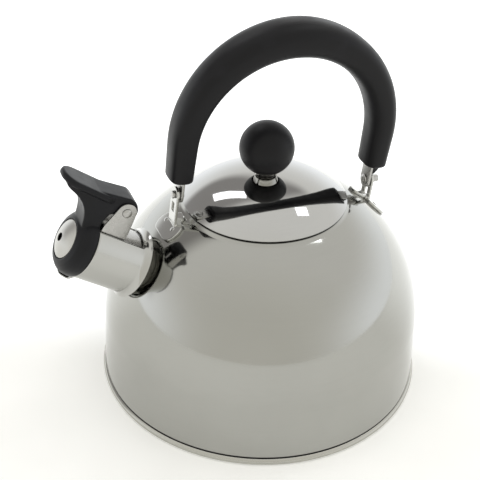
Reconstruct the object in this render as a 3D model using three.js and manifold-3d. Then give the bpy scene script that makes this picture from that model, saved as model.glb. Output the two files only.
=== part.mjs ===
// Stovetop whistling kettle: polished body, lift-off lid, folding arched handle, flip-up whistle cap.
// Millimetres, +Z up. Origin: centre of the resting face. The spout points towards -X, and the
// handle's arch lies in the XZ plane.
import * as THREE from 'three';
import { mergeVertices } from 'three/addons/utils/BufferGeometryUtils.js';
import Module from 'manifold-3d';

const wasm = await Module();
wasm.setup();

// ---- driving dimensions ----
const GAP = 0.3; // clearance between neighbouring solids
const ROUND = 48; // facets round the large turned pieces
const SHEET = 0.9; // thickness of the drawn steel

const RIM_R = 95; // outer radius of the rolled base rim
const RIM_ROLL = 2.1; // radius of the roll
const BASE_DISC_R = 74; // heat spreading disc
const WALL_FOOT = { r: 93.6, z: 4.6 }; // lower end of the body wall
const WALL_TOP = { r: 92.3, z: 40 }; // where the wall turns into the dome
const DOME_PULL_LOW = { r: 91.5, z: 72 }; // control points of the dome's curve
const DOME_PULL_HIGH = { r: 72, z: 100.5 };
const DOME_END = { r: 46.5, z: 112.4 };
const OPENING_R = 42; // clear radius of the filling opening

const LID_R = 46.1;
const LID_RIM_Z = 114.9; // underside of the lid's rim
const LID_CROWN_Z = 129.3; // top of the lid at its centre
const LID_FULLNESS = 2.6; // above 2 flattens the lid's crown and steepens its edge
const KNOB_R = 15.2;
const KNOB_Z = 146; // centre of the ball
const COLLAR_H = 4.4; // steel collar between the lid and the ball
const SCREW_R = 2;

const SPOUT_TILT = THREE.MathUtils.degToRad(33.9); // spout axis above the horizontal
const SPOUT_Z = 35.5; // height where the spout axis crosses the kettle's axis
const NECK_R = 13.6;
const SLEEVE_R = 17.9;
const SLEEVE_FROM = 94.3; // stations along the spout axis
const SLEEVE_TO = 127.3;
const SLIT_HALF = 10; // half width of the slit along the sleeve's top
const PIN_S = 119; // the whistle lever's pin: station, height above the axis and radius
const PIN_N = 29.6;
const PIN_R = 1.5;
const EAR_OUTER = 9; // outer face of the two ears, from the centre plane
const EAR_T = 0.9;
const EAR_R = 5.4;
const CAP_R = 18.3;
const CAP_FROM = 127.6;
const CAP_TO = 137.6;
const TONGUE = { s: 142.2, n: 33.4, length: 34, width: 19, thick: 3.6, corner: 8.5 };
const TONGUE_DIP = THREE.MathUtils.degToRad(1.5); // the tongue's tip points slightly down from the spout axis
const WHISTLE_R = 10.7;
const WHISTLE_HOLE_R = 2.3;

const ARCH_X = 9.9; // centre of the handle's half circle
const ARCH_Z = 150.1;
const ARCH_R = 58.6;
const ARCH_LEAN = THREE.MathUtils.degToRad(6.5); // the arch leans to the rear
const GRIP_DROP = { front: 20, rear: 19 }; // straight legs of the grip below the half circle
const PIVOT_DROP = 30; // pivot rivets below the half circle
const GRIP_TOP = { a: 10, b: 12 }; // half thickness in and across the arch's plane
const GRIP_END = { a: 6.6, b: 8.9 };
const GRIP_TAPER = 1.4; // above 1 the grip narrows faster near its ends
const CORE_DX = -1.5; // steel core, measured outwards from the grip's centre line
const CORE = { t: 1.5, w: 9.4 };
const TAB_DX = 0.9; // bracket tab
const RIVET_R = 1.6;
const RIVET_REACH = { front: 3.2, rear: 6.4 }; // outer ends of the rivets, from the grip's centre line
const FOOT_T = 1.5; // bracket sheet
const FRONT_BRACKET = { footX: -56, foot: 11, flapX: -50.6, flap: 6 }; // centres and lengths along X
const REAR_BRACKET = { footX: 67.6, foot: 10.6, flapX: 59.4, flap: 11 };
const FOOT_W = 21;

// ---- materials ----
const steel = (color, roughness = 0.12) => new THREE.MeshStandardMaterial({ color, roughness, metalness: 1 });
const plastic = (color, roughness = 0.45) => new THREE.MeshStandardMaterial({ color, roughness, metalness: 0 });
const POLISHED = steel(0xc4c6c2);
const SATIN = steel(0xb2b3b0, 0.3);
const ALUMINIUM = steel(0xa9abad, 0.4);
const SPRING_STEEL = steel(0x8d8f90, 0.3);
const BLACK = plastic(0x232429);

// ---- helpers ----
// Merges shared vertices, drops collapsed triangles and turns the faces outwards.
function tidy(geometry) {
  geometry.deleteAttribute('normal');
  geometry.deleteAttribute('uv');
  const merged = mergeVertices(geometry, 1e-4);
  const p = merged.attributes.position;
  const index = [];
  let volume = 0;
  const [a, b, c] = [new THREE.Vector3(), new THREE.Vector3(), new THREE.Vector3()];
  for (let i = 0; i < merged.index.count; i += 3) {
    const [i0, i1, i2] = [0, 1, 2].map((k) => merged.index.getX(i + k));
    if (i0 === i1 || i1 === i2 || i2 === i0) continue;
    index.push(i0, i1, i2);
    a.fromBufferAttribute(p, i0);
    b.fromBufferAttribute(p, i1);
    c.fromBufferAttribute(p, i2);
    volume += a.dot(b.cross(c));
  }
  if (volume < 0) index.reverse();
  merged.setIndex(index);
  return merged;
}

function toSolid(geometry) {
  const clean = tidy(geometry);
  return new wasm.Manifold(new wasm.Mesh({
    numProp: 3,
    vertProperties: new Float32Array(clean.attributes.position.array),
    triVerts: new Uint32Array(clean.index.array),
  }));
}

function toGeometry(solid) {
  const mesh = solid.getMesh();
  const geometry = new THREE.BufferGeometry();
  geometry.setAttribute('position', new THREE.BufferAttribute(new Float32Array(mesh.vertProperties), 3));
  geometry.setIndex(new THREE.BufferAttribute(new Uint32Array(mesh.triVerts), 1));
  return geometry;
}

const cut = (body, ...tools) => toGeometry(tools.reduce((s, t) => s.subtract(toSolid(t)), toSolid(body)));
const join = (body, ...others) => toGeometry(others.reduce((s, t) => s.add(toSolid(t)), toSolid(body)));
const common = (body, other) => toGeometry(toSolid(body).intersect(toSolid(other)));

// A turned solid about Z from [radius, height] pairs.
function turned(profile, segments = 48) {
  const points = profile.map(([r, z]) => new THREE.Vector2(r, z));
  return tidy(new THREE.LatheGeometry(points, segments).rotateX(Math.PI / 2));
}

// The same, for a profile that closes on itself.
const turnedRing = (profile, segments) => turned([...profile, profile[0]], segments);

function rod(radius, length, segments = 20) {
  return new THREE.CylinderGeometry(radius, radius, length, segments).rotateX(Math.PI / 2);
}

// A rod across the spout or along the handle's fold axis.
const rodY = (radius, length, segments) => rod(radius, length, segments).rotateX(Math.PI / 2);
const rodX = (radius, length, segments) => rod(radius, length, segments).rotateY(Math.PI / 2);

function arcPoints(cx, cy, radius, fromDeg, toDeg, steps) {
  return Array.from({ length: steps + 1 }, (_, i) => {
    const t = THREE.MathUtils.degToRad(fromDeg + ((toDeg - fromDeg) * i) / steps);
    return [cx + radius * Math.cos(t), cy + radius * Math.sin(t)];
  });
}

// A flat outline pushed through a depth along Z.
function plate(outline, depth) {
  const drawn = outline instanceof THREE.Shape;
  const shape = drawn ? outline : new THREE.Shape(outline.map(([x, y]) => new THREE.Vector2(x, y)));
  return new THREE.ExtrudeGeometry(shape, { depth, bevelEnabled: false, curveSegments: 8 });
}

function roundedRectangle(width, height, radius) {
  const [x, y] = [width / 2, height / 2];
  const shape = new THREE.Shape();
  shape.moveTo(-x + radius, -y);
  shape.lineTo(x - radius, -y);
  shape.absarc(x - radius, -y + radius, radius, -Math.PI / 2, 0);
  shape.absarc(x - radius, y - radius, radius, 0, Math.PI / 2);
  shape.absarc(-x + radius, y - radius, radius, Math.PI / 2, Math.PI);
  shape.absarc(-x + radius, -y + radius, radius, Math.PI, 1.5 * Math.PI);
  return shape;
}

function named(name, geometry, material) {
  const mesh = new THREE.Mesh(tidy(geometry), material);
  mesh.name = name;
  return mesh;
}

// ---- body ----
const domeCurve = new THREE.CubicBezierCurve(
  new THREE.Vector2(WALL_TOP.r, WALL_TOP.z),
  new THREE.Vector2(DOME_PULL_LOW.r, DOME_PULL_LOW.z),
  new THREE.Vector2(DOME_PULL_HIGH.r, DOME_PULL_HIGH.z),
  new THREE.Vector2(DOME_END.r, DOME_END.z),
);

// Points of the wall and dome, moved outwards by an offset.
function wallProfile(offset, steps = 9) {
  const points = [[WALL_FOOT.r + offset, WALL_FOOT.z]];
  for (let i = 0; i <= steps; i++) {
    const at = domeCurve.getPoint(i / steps);
    const along = domeCurve.getTangent(i / steps);
    points.push([at.x + along.y * offset, at.y - along.x * offset]);
  }
  return points;
}

// The space inside the wall and dome, grown by an offset: a cutter for pieces that sit on the dome.
function domeSolid(offset) {
  const profile = wallProfile(offset);
  const top = profile[profile.length - 1];
  return turned([[0, WALL_FOOT.z], ...profile, [0, top[1]]], ROUND);
}

const spoutFrame = new THREE.Matrix4()
  .makeTranslation(0, 0, SPOUT_Z)
  .multiply(new THREE.Matrix4().makeRotationY(SPOUT_TILT - Math.PI / 2));

function bodyShell() {
  const outer = wallProfile(0);
  const inner = wallProfile(-SHEET).reverse();
  const seat = [[45.6, 113.6], [44.4, 114.2], [43.1, 113.8], [OPENING_R, 112.4], [OPENING_R, 107]];
  const neck = [[OPENING_R + SHEET, 107], [OPENING_R + SHEET, 111.6]];
  const shell = turnedRing([...outer, ...seat, ...neck, ...inner], ROUND);
  const hole = rod(NECK_R - 0.9, 40).translate(0, 0, 90).applyMatrix4(spoutFrame);
  return named('body_shell', cut(shell, hole), POLISHED);
}

function basePan() {
  const rollX = RIM_R - RIM_ROLL;
  const roll = arcPoints(rollX, RIM_ROLL, RIM_ROLL, -120, 150, 7);
  const profile = [[0, 1.8], [86, 1.8], [89, 0.6], ...roll, [90.2, 3], [89.2, 2.8], [0, 2.8]];
  return named('base_pan', turned(profile, ROUND), POLISHED);
}

function heatDisc() {
  const profile = [[0, 0], [BASE_DISC_R - 0.8, 0], [BASE_DISC_R, 0.6], [BASE_DISC_R, 1.5], [0, 1.5]];
  return named('heat_disc', turned(profile, ROUND), ALUMINIUM);
}

// ---- spout: local X away from the axis (up), local Z along the spout ----
function spoutNeck() {
  const inner = NECK_R - SHEET;
  const profile = [[inner, 82], [NECK_R, 82], [NECK_R, 103], [inner, 103]];
  const neck = turnedRing(profile, 28).applyMatrix4(spoutFrame);
  const trimmed = cut(neck, domeSolid(GAP));
  return named('spout_neck', trimmed.applyMatrix4(spoutFrame.clone().invert()), POLISHED);
}

// The rolled tube over the neck: a flared rim at its rear end, a slit along its top and a lip under its mouth.
function spoutSleeve() {
  const inside = SLEEVE_R - SHEET;
  const bore = NECK_R + GAP;
  const back = [[bore, SLEEVE_FROM + 2.4], [bore, SLEEVE_FROM + 1.4], [17.6, SLEEVE_FROM + 1.4]];
  const rim = [[19.9, SLEEVE_FROM + 0.1], [20.4, SLEEVE_FROM + 0.5], [19.3, SLEEVE_FROM + 1.6]];
  const flare = [[18.4, SLEEVE_FROM + 2.8], [SLEEVE_R, SLEEVE_FROM + 4.4]];
  const shell = [[SLEEVE_R, SLEEVE_TO], [inside, SLEEVE_TO], [inside, SLEEVE_FROM + 4.4]];
  const tube = turnedRing([...back, ...rim, ...flare, ...shell], 36);
  const slitFrom = SLEEVE_FROM + 5;
  const slit = new THREE.BoxGeometry(14, 2 * SLIT_HALF, 40).translate(SLEEVE_R, 0, slitFrom + 20);
  return named('spout_sleeve', join(cut(tube, slit), pouringLip()), POLISHED);
}

function pouringLip() {
  const tip = SLEEVE_TO + 5.2;
  const outside = [[SLEEVE_R - 0.1, SLEEVE_TO - 2.8], [SLEEVE_R + 1.6, SLEEVE_TO], [SLEEVE_R + 2.9, tip - 0.3]];
  const inside = [[SLEEVE_R + 2.1, tip], [SLEEVE_R + 0.9, SLEEVE_TO], [SLEEVE_R - SHEET, SLEEVE_TO - 1.6]];
  const lowerThird = new THREE.BoxGeometry(20, 17, 20).translate(-22, 0, 128);
  return common(turnedRing([...outside, ...inside], 36), lowerThird);
}

// A plate in the spout's upright plane, centred across it: outline points are station and height.
function sidePlate(outline, depth, across = 0) {
  const toSpout = new THREE.Matrix4().set(0, 1, 0, 0, 0, 0, 1, across, 1, 0, 0, 0, 0, 0, 0, 1);
  return plate(outline, depth).translate(0, 0, -depth / 2).applyMatrix4(toSpout);
}

// A bent saddle under the slit, with the two ears that carry the lever's pin.
function hingeSaddle() {
  const outer = SLEEVE_R - SHEET - GAP;
  const ring = turnedRing([[outer - SHEET, 99], [outer, 99], [outer, 126.6], [outer - SHEET, 126.6]], 36);
  const floor = common(ring, new THREE.BoxGeometry(12, 26, 40).translate(outer, 0, 112));
  const [back, front, foot, shoulder] = [PIN_S - 7.3, PIN_S + 7.6, 13, 18.7];
  const crown = arcPoints(PIN_S, PIN_N, EAR_R, 20, 160, 12);
  const outline = [[back, foot], [front, foot], [front, shoulder], ...crown, [back, shoulder]];
  const ears = [-1, 1].map((side) => sidePlate(outline, EAR_T, side * (EAR_OUTER - EAR_T / 2)));
  const hole = rodY(PIN_R + 0.2, 24).translate(PIN_N, 0, PIN_S);
  return named('hinge_saddle', cut(join(floor, ...ears), hole), SATIN);
}

// The whistle cap's cup, over the spout's mouth.
function whistleCup() {
  const seat = WHISTLE_R + GAP;
  const throat = 9.4;
  const side = [[CAP_R, CAP_FROM], [CAP_R, 129.6], [17.9, 132]];
  const shoulder = [[16.8, 134.4], [14.6, 136.4], [11.6, CAP_TO]];
  const recess = [[seat, CAP_TO], [seat, CAP_TO - 1], [throat, CAP_TO - 1], [throat, 134.4]];
  const inside = [[13, 134], [16.4, 130.8], [16.6, CAP_FROM]];
  return turnedRing([...side, ...shoulder, ...recess, ...inside], 36);
}

// Side outline of the lever's arm: it wraps the pin, runs under the tongue and hooks down to the cup.
function leverSide() {
  const side = new THREE.Shape();
  side.moveTo(CAP_FROM, 15.2);
  side.lineTo(CAP_FROM, 19.4);
  side.lineTo(126.6, 24.5);
  side.lineTo(124.6, 26);
  side.absarc(PIN_S, PIN_N, 6.6, THREE.MathUtils.degToRad(-40), THREE.MathUtils.degToRad(-220), true);
  side.quadraticCurveTo(115.6, 36.6, 119.5, 37.2);
  side.bezierCurveTo(126, 36.4, 138, 34.9, 151, 34.3);
  side.quadraticCurveTo(158.4, 34, 158.6, 32.4);
  side.quadraticCurveTo(158.2, 31.3, 153.4, 29.9);
  side.bezierCurveTo(143, 26.6, 139, 22, 137, 13);
  side.lineTo(134.6, 12);
  side.lineTo(132, 15.2);
  side.closePath();
  return side;
}

// The flat thumb tongue, with rounded corners seen from above.
function thumbTongue() {
  const pad = plate(roundedRectangle(TONGUE.thick, TONGUE.width, 1.4), TONGUE.length)
    .translate(0, 0, -TONGUE.length / 2)
    .rotateY(TONGUE_DIP)
    .translate(TONGUE.n, 0, TONGUE.s);
  const corners = plate(roundedRectangle(TONGUE.length, TONGUE.width, TONGUE.corner), 20)
    .rotateY(Math.PI / 2)
    .translate(TONGUE.n - 10, 0, TONGUE.s);
  return common(pad, corners);
}

// Thumb lever and whistle cap, moulded as one piece, with a pocket for the spring round the pin.
function capLever() {
  const throat = rod(9.4, 8).translate(0, 0, 133);
  const arm = cut(sidePlate(leverSide(), 2 * (EAR_OUTER - EAR_T - 0.4)), throat);
  const hole = rodY(PIN_R + 0.1, 24).translate(PIN_N, 0, PIN_S);
  const pocket = rodY(3.4, 7).translate(PIN_N, 0, PIN_S);
  return named('cap_lever', cut(join(whistleCup(), arm, thumbTongue()), hole, pocket), BLACK);
}

function whistleOuterDisc() {
  const bulge = 3.5;
  const dish = (r) => bulge * (1 - (r / WHISTLE_R) ** 2);
  const radii = [WHISTLE_R, 8, 5, WHISTLE_HOLE_R];
  const front = radii.map((r) => [r, CAP_TO - 0.1 + dish(r)]);
  const back = radii.map((r) => [r, CAP_TO - 0.7 + dish(r)]).reverse();
  return named('whistle_outer_disc', turnedRing([...front, ...back], 24), POLISHED);
}

function whistleInnerDisc() {
  const profile = [[WHISTLE_HOLE_R, 134.8], [9.1, 134.8], [9.1, 135.4], [WHISTLE_HOLE_R, 135.4]];
  return named('whistle_inner_disc', turnedRing(profile, 24), SATIN);
}

function leverPin() {
  const head = 1;
  const reach = 2 * EAR_OUTER + 2 * GAP;
  const heads = [-1, 1].map((side) => rodY(2.6, head).translate(0, side * (reach + head) / 2, 0));
  return named('lever_pin', join(rodY(PIN_R, reach + 0.4), ...heads), SATIN);
}

// Torsion spring round the pin, inside the lever's pocket.
function leverSpring() {
  const [turns, perTurn, radius, length] = [4, 10, 2.5, 4.8];
  const steps = turns * perTurn;
  const points = Array.from({ length: steps + 1 }, (_, i) => {
    const angle = (i / perTurn) * 2 * Math.PI;
    return new THREE.Vector3(radius * Math.sin(angle), length * (i / steps - 0.5), radius * Math.cos(angle));
  });
  const extrudePath = new THREE.CatmullRomCurve3(points);
  const wire = new THREE.Shape().absarc(0, 0, 0.35, 0, 2 * Math.PI);
  const coil = new THREE.ExtrudeGeometry(wire, { extrudePath, steps, curveSegments: 3 });
  return named('lever_spring', coil, SPRING_STEEL);
}

// ---- lid ----
function lidHeight(r) {
  const foot = LID_RIM_Z + 0.7;
  return foot + (LID_CROWN_Z - foot) * (1 - (r / LID_R) ** LID_FULLNESS);
}

function lidShell() {
  const radii = [SCREW_R + 0.4, 12, 20, 27, 33, 39, 43, LID_R];
  const top = radii.map((r) => [r, lidHeight(r)]);
  const under = radii.map((r) => [Math.min(r, 43.4), lidHeight(Math.min(r, 43.4)) - 1.2 * SHEET]).reverse();
  const rim = [[LID_R, LID_RIM_Z + 0.3], [LID_R - 0.4, LID_RIM_Z], [43.6, LID_RIM_Z]];
  return named('lid_shell', turnedRing([...top, ...rim, ...under], ROUND), POLISHED);
}

function lidSkirt() {
  const [outer, low] = [OPENING_R - 0.6, 106.4];
  const high = LID_RIM_Z + 0.1;
  const profile = [[outer - SHEET, low], [outer, low], [outer, high], [outer - SHEET, high]];
  return named('lid_skirt', turnedRing(profile, 36), SATIN);
}

function knobCollar() {
  const [low, high] = [LID_CROWN_Z + GAP, LID_CROWN_Z + GAP + COLLAR_H];
  const bore = SCREW_R + 0.4;
  const profile = [[bore, low], [5.9, low], [6.2, low + 0.5], [7.6, high - 0.4], [7.4, high], [bore, high]];
  return named('knob_collar', turnedRing(profile, 24), POLISHED);
}

function knobBall() {
  const ball = new THREE.SphereGeometry(KNOB_R, 24, 14).rotateX(Math.PI / 2).translate(0, 0, KNOB_Z);
  const seat = LID_CROWN_Z + COLLAR_H + 2 * GAP;
  const socket = rod(8.2, 20, 24).translate(0, 0, seat - 10);
  const thread = rod(SCREW_R + 0.3, 20).translate(0, 0, KNOB_Z - 12);
  return named('knob_ball', cut(ball, socket, thread), BLACK);
}

const LID_UNDERSIDE = LID_CROWN_Z - 1.2 * SHEET;
const WASHER_T = 0.8;

function knobScrew() {
  const head = LID_UNDERSIDE - 2 * GAP - WASHER_T;
  const shank = [[SCREW_R, head], [SCREW_R, KNOB_Z - 4], [0, KNOB_Z - 3]];
  const profile = [[0, head - 2.2], [3.4, head - 2], [3.8, head], ...shank];
  return named('knob_screw', turned(profile, 24), SATIN);
}

function knobWasher() {
  const top = LID_UNDERSIDE - GAP;
  const [inner, outer] = [SCREW_R + 0.3, 4.6];
  const profile = [[inner, top - WASHER_T], [outer, top - WASHER_T], [outer, top], [inner, top]];
  return named('knob_lock_washer', turnedRing(profile, 24), SATIN);
}

// ---- handle: local X along the fold axis, local Z up the arch, origin at the half circle's centre ----
const QUARTER = (Math.PI / 2) * ARCH_R;

// Bends a straight piece round the arch: z is the distance along it from the crown, x is outwards.
function bent(geometry) {
  const p = geometry.attributes.position;
  for (let i = 0; i < p.count; i++) {
    const [x, y, z] = [p.getX(i), p.getY(i), p.getZ(i)];
    const far = Math.abs(z);
    const side = Math.sign(z);
    if (far <= QUARTER) {
      const turn = far / ARCH_R;
      p.setXYZ(i, side * (ARCH_R + x) * Math.sin(turn), y, (ARCH_R + x) * Math.cos(turn));
    } else {
      p.setXYZ(i, side * (ARCH_R + x), y, -(far - QUARTER));
    }
  }
  return geometry;
}

function handleGrip() {
  const [front, rear] = [QUARTER + GRIP_DROP.front, QUARTER + GRIP_DROP.rear];
  const length = front + rear;
  const straight = new THREE.CylinderGeometry(1, 1, length, 18, 30).rotateX(Math.PI / 2)
    .translate(0, 0, (rear - front) / 2);
  const p = straight.attributes.position;
  const corner = 0.76; // less than 1 squares the section off
  for (let i = 0; i < p.count; i++) {
    const [x, y, z] = [p.getX(i), p.getY(i), p.getZ(i)];
    const taper = (Math.abs(z) / (z < 0 ? front : rear)) ** GRIP_TAPER;
    const a = THREE.MathUtils.lerp(GRIP_TOP.a, GRIP_END.a, taper);
    const b = THREE.MathUtils.lerp(GRIP_TOP.b, GRIP_END.b, taper);
    const radius = Math.hypot(x, y) || 1;
    const squared = (v) => Math.sign(v) * Math.abs(v / radius) ** corner * Math.min(radius, 1);
    p.setXY(i, radius < 1e-6 ? 0 : squared(x) * a, squared(y) * b);
  }
  const slot = new THREE.BoxGeometry(CORE.t + 2 * GAP, CORE.w + 2 * GAP, length + 12, 1, 1, 40)
    .translate(CORE_DX, 0, 0);
  return named('handle_grip', cut(bent(tidy(straight)), bent(slot)), BLACK);
}

// One steel strap through the whole grip, with a rounded and drilled end at each pivot.
function handleCore() {
  const end = QUARTER + PIVOT_DROP;
  const strap = bent(new THREE.BoxGeometry(CORE.t, CORE.w, 2 * end, 1, 1, 40).translate(CORE_DX, 0, 0));
  const sides = [-1, 1];
  const at = (side) => [side * (ARCH_R + CORE_DX), 0, -PIVOT_DROP];
  const ends = sides.map((side) => rodX(CORE.w / 2, CORE.t).translate(...at(side)));
  const holes = sides.map((side) => rodX(RIVET_R + 0.3, 6).translate(...at(side)));
  return named('handle_core', cut(join(strap, ...ends), ...holes), SATIN);
}

const handleFrame = new THREE.Matrix4()
  .makeTranslation(ARCH_X, 0, ARCH_Z)
  .multiply(new THREE.Matrix4().makeRotationY(ARCH_LEAN));

// The bracket's upright tab, rounded over the pivot, with a hole for the rivet and a window under it.
function bracketTab(side) {
  const x = side * (ARCH_R + TAB_DX);
  const reach = 20;
  const upright = new THREE.BoxGeometry(FOOT_T, CORE.w, reach).translate(x, 0, -PIVOT_DROP - reach / 2);
  const crown = rodX(CORE.w / 2, FOOT_T).translate(x, 0, -PIVOT_DROP);
  const window = new THREE.BoxGeometry(4, 3.4, 5.4).translate(x, 0, -PIVOT_DROP - 7.6);
  const hole = rodX(RIVET_R + 0.1, 6).translate(x, 0, -PIVOT_DROP);
  return cut(join(upright, crown), window, hole).applyMatrix4(handleFrame);
}

// Sheet bracket: a foot welded flat on the dome, a small inner flap and the upright tab for the rivet.
function bracket(name, side) {
  const { footX, foot, flapX, flap } = side < 0 ? FRONT_BRACKET : REAR_BRACKET;
  const block = (length, width, radius, x) => plate(roundedRectangle(length, width, radius), 60)
    .translate(x, 0, 70);
  const outline = join(block(foot, FOOT_W, 5, footX), block(flap, 8, 2.9, flapX));
  const sheet = common(outline, domeSolid(GAP + FOOT_T));
  return named(name, cut(join(sheet, bracketTab(side)), domeSolid(GAP)), POLISHED);
}

// A rivet along the fold axis: shank, inner head and outer stub, each from one distance to another.
function pivotRivet(name, side) {
  const reach = side < 0 ? RIVET_REACH.front : RIVET_REACH.rear;
  const parts = [[RIVET_R, -3.2, reach - 0.4], [3, -3.6, -2.5], [2.2, 2, reach]];
  const pieces = parts.map(([radius, from, to]) => rodX(radius, to - from, 24)
    .translate(side * (ARCH_R + (from + to) / 2), 0, -PIVOT_DROP));
  return named(name, join(...pieces), SATIN);
}

function pivotWasher(name, side) {
  const x = side * (ARCH_R - 0.3);
  const disc = rodX(3.6, 0.5).translate(x, 0, -PIVOT_DROP);
  const hole = rodX(RIVET_R + 0.3, 3).translate(x, 0, -PIVOT_DROP);
  return named(name, cut(disc, hole), SATIN);
}

// ---- assembly ----
const kettle = new THREE.Group();
kettle.add(bodyShell(), basePan(), heatDisc());

const spout = new THREE.Group();
spout.position.z = SPOUT_Z;
spout.rotation.y = SPOUT_TILT - Math.PI / 2;
const hinge = new THREE.Group();
hinge.position.set(PIN_N, 0, PIN_S);
hinge.add(leverPin(), leverSpring());
spout.add(spoutNeck(), spoutSleeve(), hingeSaddle(), capLever(), whistleOuterDisc(), whistleInnerDisc(), hinge);
kettle.add(spout);

kettle.add(lidShell(), lidSkirt(), knobCollar(), knobBall(), knobScrew(), knobWasher());

const handle = new THREE.Group();
handle.position.set(ARCH_X, 0, ARCH_Z);
handle.rotation.y = ARCH_LEAN;
handle.add(handleGrip(), handleCore());
for (const [place, side] of [['front', -1], ['rear', 1]]) {
  handle.add(pivotRivet(`${place}_pivot_rivet`, side), pivotWasher(`${place}_pivot_washer`, side));
  kettle.add(bracket(`${place}_bracket`, side));
}
kettle.add(handle);

export default kettle;
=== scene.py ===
import math

import bmesh
import bpy
import numpy as np
from mathutils import Matrix, Vector


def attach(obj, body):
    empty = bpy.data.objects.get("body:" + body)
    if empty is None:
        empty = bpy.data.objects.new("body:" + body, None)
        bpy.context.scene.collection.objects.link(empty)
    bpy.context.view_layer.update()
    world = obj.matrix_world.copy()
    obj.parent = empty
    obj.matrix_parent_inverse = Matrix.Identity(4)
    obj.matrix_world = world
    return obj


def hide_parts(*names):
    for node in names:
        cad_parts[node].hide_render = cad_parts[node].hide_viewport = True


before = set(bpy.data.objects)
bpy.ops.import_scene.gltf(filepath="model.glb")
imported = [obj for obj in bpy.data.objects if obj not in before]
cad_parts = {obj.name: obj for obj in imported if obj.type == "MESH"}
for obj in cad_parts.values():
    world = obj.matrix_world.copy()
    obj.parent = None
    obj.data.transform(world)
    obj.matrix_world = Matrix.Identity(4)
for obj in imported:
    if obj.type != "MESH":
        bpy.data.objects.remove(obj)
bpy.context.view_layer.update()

# ---------------------------------------------------------------------------------------------
# Kettle body. One deep-drawn stainless shell: a near-upright wall that turns into a high dome,
# with a rolled seat round the filling opening and a hole punched for the spout's neck.
# Mirror polished outside on a wheel, so hair-fine lines run round it.
MM = 0.001
WALL_FOOT = (93.6, 4.6)
DOME_CURVE = ((92.3, 40.0), (91.5, 72.0), (72.0, 100.5), (46.5, 112.4))
SHEET = 0.9
SEAT_ROLL = ((45.6, 113.6), (44.4, 114.2), (43.1, 113.8), (42.0, 112.4), (42.0, 107.0))
SEAT_NECK = ((42.9, 107.0), (42.9, 111.6))
OUTLET_R = 12.7
SPOUT_TILT = math.radians(33.9)
SPOUT_ROOT_Z = 35.5
SPOUT_FRAME = Matrix.Translation((0, 0, SPOUT_ROOT_Z)) @ Matrix.Rotation(SPOUT_TILT - math.pi / 2, 4, "Y")
POLISHED = (0.40, 0.40, 0.378)
BODY_FACETS = 224


def lofted(name, rings, ring_closed=True, ends_joined=False, place=Matrix.Identity(4)):
    """A mesh skinned over rings of points in millimetres, set in place, in metres."""
    bm = bmesh.new()
    rows = [[bm.verts.new(point) for point in ring] for ring in rings]
    if ends_joined:
        rows.append(rows[0])
    count = len(rows[0])
    for low, high in zip(rows, rows[1:]):
        for i in range(count if ring_closed else count - 1):
            j = (i + 1) % count
            bm.faces.new((low[i], low[j], high[j], high[i]))
    return from_bmesh(name, bm, place)


def from_bmesh(name, bm, place=Matrix.Identity(4), crease=40):
    """Merges the doubles, turns the faces outwards and makes the piece, smooth but for its creases."""
    bm.transform(Matrix.Scale(MM, 4) @ place)
    bmesh.ops.remove_doubles(bm, verts=bm.verts, dist=1e-6)
    bmesh.ops.recalc_face_normals(bm, faces=bm.faces)
    mesh = bpy.data.meshes.new(name)
    bm.to_mesh(mesh)
    bm.free()
    piece = bpy.data.objects.new(name, mesh)
    bpy.context.collection.objects.link(piece)
    return shaded(piece, crease)


def shaded(piece, crease=40):
    """Smooth shading, but for the edges that turn by more than the crease angle."""
    piece.data.shade_smooth()
    piece.data.set_sharp_from_angle(angle=math.radians(crease))
    return piece


def turned(name, outline, facets=96, place=Matrix.Identity(4), joined=True):
    """A piece turned about Z from an outline of radii and heights, closed or ending on the axis."""
    angles = [2 * math.pi * k / facets for k in range(facets)]
    rings = [[(r * math.cos(a), r * math.sin(a), z) for a in angles] for r, z in outline]
    return lofted(name, rings, ends_joined=joined, place=place)


def bezier(points, t):
    """Points of a cubic curve and its unit directions, at the values t."""
    a, b, c, d = (np.array(p, float) for p in points)
    t = np.asarray(t, float)[:, None]
    at = (1 - t) ** 3 * a + 3 * t * (1 - t) ** 2 * b + 3 * t * t * (1 - t) * c + t ** 3 * d
    along = (1 - t) ** 2 * (b - a) + 2 * t * (1 - t) * (c - b) + t * t * (d - c)
    return at, along / np.linalg.norm(along, axis=1)[:, None]


def wall_outline(offset, steps=72):
    """Radii and heights of the wall and dome, from the foot up, moved outwards by the offset."""
    foot_r, foot_z = WALL_FOOT
    top_r, top_z = DOME_CURVE[0]
    upright = [(foot_r + (top_r - foot_r) * t + offset, foot_z + (top_z - foot_z) * t)
               for t in np.linspace(0, 1, 14)[:-1]]
    at, along = bezier(DOME_CURVE, np.linspace(0, 1, steps))
    return upright + [(p[0] + d[1] * offset, p[1] - d[0] * offset) for p, d in zip(at, along)]


def settled(piece):
    """The piece with its modifiers' result as its plain mesh."""
    evaluated = piece.evaluated_get(bpy.context.evaluated_depsgraph_get())
    mesh = bpy.data.meshes.new_from_object(evaluated)
    piece.modifiers.clear()
    piece.data = mesh
    return piece


def modified(piece, kind, **settings):
    """The piece with one more modifier, not yet applied."""
    modifier = piece.modifiers.new(kind.title(), kind)
    for key, value in settings.items():
        setattr(modifier, key, value)
    return piece


def carved(piece, *cutters):
    """The piece with the cutters' shapes taken out of it."""
    for cutter in cutters:
        modified(piece, "BOOLEAN", operation="DIFFERENCE", solver="EXACT", object=cutter)
    bpy.context.view_layer.update()
    settled(piece)
    for cutter in cutters:
        bpy.data.objects.remove(cutter)
    return piece


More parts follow.
